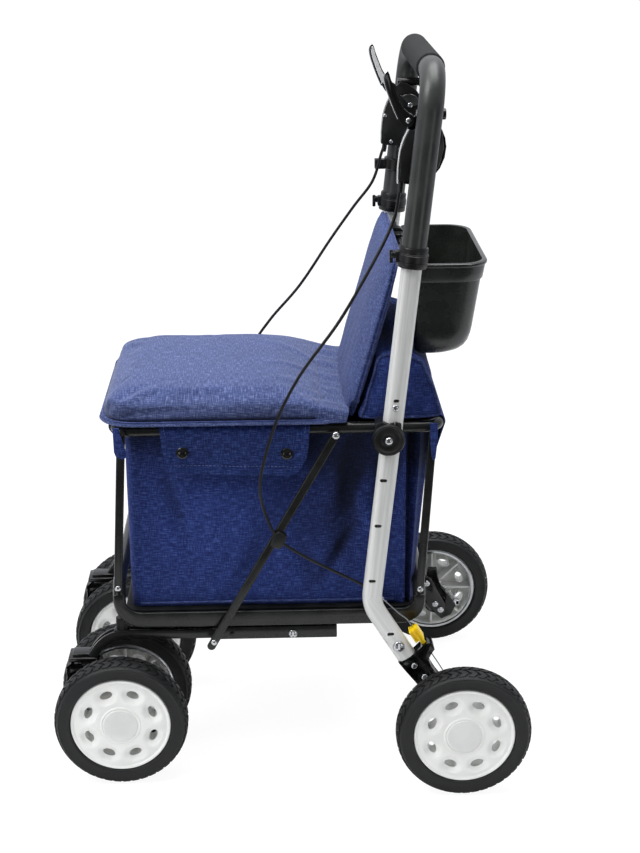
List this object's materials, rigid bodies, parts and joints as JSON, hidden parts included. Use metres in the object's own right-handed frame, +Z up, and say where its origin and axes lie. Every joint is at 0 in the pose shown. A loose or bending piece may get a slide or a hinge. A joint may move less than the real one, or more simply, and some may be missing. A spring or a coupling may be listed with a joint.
{
  "type": "shopping rollator",
  "caption": "Folding shopping rollator with a padded seat over a fabric bag, a backrest, a rear basket, twin front casters and braked rear wheels.",
  "frame": {"origin": "on the floor, under the middle of the overall box (midway between the front and rear axles and between the left and right wheels)", "axes": "+X to the user's left, -Y to the front (direction of travel), +Z up"},
  "size_m": [0.494, 0.637, 0.961],
  "materials": {
    "silver_tube": "satin anodised",
    "black_steel": "satin powder coat",
    "black_plastic": "fine matte texture",
    "foam": "soft matte foam",
    "white_plastic": "satin moulded",
    "tyre_rubber": "matte rubber",
    "blue_fabric": "woven heather",
    "yellow_plastic": "moulded",
    "zinc": "zinc plated"
  },
  "bodies": {
    "leg_frame": {"leg_tube_left": "silver_tube", "leg_tube_right": "silver_tube", "rear_bracket_left": "black_plastic", "rear_bracket_right": "black_plastic", "brake_spring_left": "zinc", "brake_spring_right": "zinc", "cable_adjuster_left": "yellow_plastic", "cable_adjuster_right": "yellow_plastic", "pivot_knob_left": "black_plastic", "pivot_knob_right": "black_plastic", "brake_cable_left": "black_plastic", "brake_cable_right": "black_plastic", "back_hanger": "black_steel"},
    "handle": {"handle_tube": "black_steel", "foam_grip": "foam", "stick_clip": "black_plastic", "height_collar_left": "black_plastic", "height_collar_right": "black_plastic", "brake_housing_left": "black_plastic", "brake_housing_right": "black_plastic"},
    "seat_frame": {"seat_ring": "black_steel", "rear_pouch": "blue_fabric", "bag": "blue_fabric", "pocket_flap_left": "blue_fabric", "pocket_flap_right": "blue_fabric"},
    "seat_lid": {"seat_board": "black_plastic", "seat_cushion": "blue_fabric"},
    "backrest": {"backrest": "blue_fabric"},
    "basket": {"basket": "black_plastic"},
    "tray": {"tray_ring": "black_steel", "tray_floor": "black_plastic", "carrier_bar_left": "black_steel", "carrier_bar_right": "black_steel"},
    "front_posts": {"front_post_left": "black_steel", "front_post_right": "black_steel"},
    "rear_posts": {"rear_post_left": "black_steel", "rear_post_right": "black_steel"},
    "struts": {"strut_left": "black_steel", "strut_right": "black_steel"},
    "lever_left": {"brake_lever_left": "black_plastic"},
    "clamp_left": {"clamp_knob_left": "black_plastic"},
    "arm_left": {"brake_arm_left": "zinc"},
    "caster_left": {"caster_fork_left": "black_plastic"},
    "front_wheel_left_outer": {"tyre_front_left_outer": "tyre_rubber", "hub_front_left_outer": "white_plastic"},
    "front_wheel_left_inner": {"tyre_front_left_inner": "tyre_rubber", "hub_front_left_inner": "white_plastic"},
    "rear_wheel_left": {"tyre_rear_left": "tyre_rubber", "hub_rear_left": "white_plastic"},
    "lever_right": {"brake_lever_right": "black_plastic"},
    "clamp_right": {"clamp_knob_right": "black_plastic"},
    "arm_right": {"brake_arm_right": "zinc"},
    "caster_right": {"caster_fork_right": "black_plastic"},
    "front_wheel_right_outer": {"tyre_front_right_outer": "tyre_rubber", "hub_front_right_outer": "white_plastic"},
    "front_wheel_right_inner": {"tyre_front_right_inner": "tyre_rubber", "hub_front_right_inner": "white_plastic"},
    "rear_wheel_right": {"tyre_rear_right": "tyre_rubber", "hub_rear_right": "white_plastic"}
  },
  "joints": [
    {"name": "fold", "type": "hinge", "parent": "leg_frame", "child": "seat_frame", "pos_m": [0, 0.129, 0.487], "axis": [-1, 0, 0], "range_deg": [0, 60], "deforming": ["bag", "rear_pouch"]},
    {"name": "tray_hinge", "type": "hinge", "parent": "leg_frame", "child": "tray", "pos_m": [0, 0.1153, 0.2699], "axis": [-1, 0, 0], "range_deg": [0, 60.5]},
    {"name": "front_post_hinge", "type": "hinge", "parent": "tray", "child": "front_posts", "pos_m": [0, -0.2271, 0.2714], "axis": [-1, 0, 0], "range_deg": [-60.5, 0]},
    {"name": "rear_post_hinge", "type": "hinge", "parent": "tray", "child": "rear_posts", "pos_m": [0, 0.1749, 0.2625], "axis": [-1, 0, 0], "range_deg": [-60.5, 0]},
    {"name": "strut_hinge", "type": "hinge", "parent": "seat_frame", "child": "struts", "pos_m": [0, 0.0632, 0.4838], "axis": [-1, 0, 0], "range_deg": [0, 58.5]},
    {"name": "backrest_hinge", "type": "hinge", "parent": "leg_frame", "child": "backrest", "pos_m": [0, 0.158, 0.695], "axis": [1, 0, 0], "range_deg": [0, 16.2]},
    {"name": "lid_hinge", "type": "hinge", "parent": "seat_frame", "child": "seat_lid", "pos_m": [0, 0.0575, 0.499], "axis": [1, 0, 0], "range_deg": [-60, 0]},
    {"name": "handle_height", "type": "slide", "parent": "leg_frame", "child": "handle", "axis": [0, 0.1059, 0.9944], "range_m": [-0.08, 0], "deforming": ["brake_cable_left", "brake_cable_right"]},
    {"name": "basket_lift", "type": "slide", "parent": "leg_frame", "child": "basket", "axis": [0, 0, 1], "range_m": [0, 0.1]},
    {"name": "brake_lever_left", "type": "hinge", "parent": "handle", "child": "lever_left", "pos_m": [0.1535, 0.1523, 0.885], "axis": [-1, 0, 0], "range_deg": [0, 20], "stiffness_Nm_per_rad": 1},
    {"name": "brake_arm_left", "type": "hinge", "parent": "leg_frame", "child": "arm_left", "pos_m": [0.1949, 0.2436, 0.067], "axis": [1, 0, 0], "range_deg": [0, 6.2], "deforming": ["brake_spring_left"]},
    {"name": "clamp_left", "type": "hinge", "parent": "handle", "child": "clamp_left", "pos_m": [0.1735, 0.15835, 0.7215], "axis": [0, -0.9944, 0.1059], "range_deg": [-180, 0]},
    {"name": "caster_swivel_left", "type": "hinge", "parent": "tray", "child": "caster_left", "pos_m": [0.13, -0.285, 0.15], "axis": [0, 0, 1], "continuous": true},
    {"name": "rear_wheel_spin_left", "type": "hinge", "parent": "leg_frame", "child": "rear_wheel_left", "pos_m": [0.229, 0.2285, 0.09], "axis": [1, 0, 0], "continuous": true},
    {"name": "front_wheel_spin_left_outer", "type": "hinge", "parent": "caster_left", "child": "front_wheel_left_outer", "pos_m": [0.181, -0.2285, 0.09], "axis": [1, 0, 0], "continuous": true},
    {"name": "front_wheel_spin_left_inner", "type": "hinge", "parent": "caster_left", "child": "front_wheel_left_inner", "pos_m": [0.079, -0.2285, 0.09], "axis": [1, 0, 0], "continuous": true},
    {"name": "brake_lever_right", "type": "hinge", "parent": "handle", "child": "lever_right", "pos_m": [-0.1535, 0.1523, 0.885], "axis": [-1, 0, 0], "range_deg": [0, 20], "stiffness_Nm_per_rad": 1},
    {"name": "brake_arm_right", "type": "hinge", "parent": "leg_frame", "child": "arm_right", "pos_m": [-0.1949, 0.2436, 0.067], "axis": [1, 0, 0], "range_deg": [0, 6.2], "deforming": ["brake_spring_right"]},
    {"name": "clamp_right", "type": "hinge", "parent": "handle", "child": "clamp_right", "pos_m": [-0.1735, 0.15835, 0.7215], "axis": [0, -0.9944, 0.1059], "range_deg": [-180, 0]},
    {"name": "caster_swivel_right", "type": "hinge", "parent": "tray", "child": "caster_right", "pos_m": [-0.13, -0.285, 0.15], "axis": [0, 0, 1], "continuous": true},
    {"name": "rear_wheel_spin_right", "type": "hinge", "parent": "leg_frame", "child": "rear_wheel_right", "pos_m": [-0.229, 0.2285, 0.09], "axis": [1, 0, 0], "continuous": true},
    {"name": "front_wheel_spin_right_outer", "type": "hinge", "parent": "caster_right", "child": "front_wheel_right_outer", "pos_m": [-0.181, -0.2285, 0.09], "axis": [1, 0, 0], "continuous": true},
    {"name": "front_wheel_spin_right_inner", "type": "hinge", "parent": "caster_right", "child": "front_wheel_right_inner", "pos_m": [-0.079, -0.2285, 0.09], "axis": [1, 0, 0], "continuous": true}
  ],
  "couplings": [
    {"joint": "tray_hinge", "follows": "fold", "ratio": 1},
    {"joint": "front_post_hinge", "follows": "fold", "ratio": -1},
    {"joint": "rear_post_hinge", "follows": "fold", "ratio": -1},
    {"joint": "strut_hinge", "follows": "fold", "ratio": 0.97},
    {"joint": "backrest_hinge", "follows": "fold", "ratio": 0.2667},
    {"joint": "brake_arm_left", "follows": "brake_lever_left", "ratio": 0.3},
    {"joint": "brake_arm_right", "follows": "brake_lever_right", "ratio": 0.3}
  ]
}
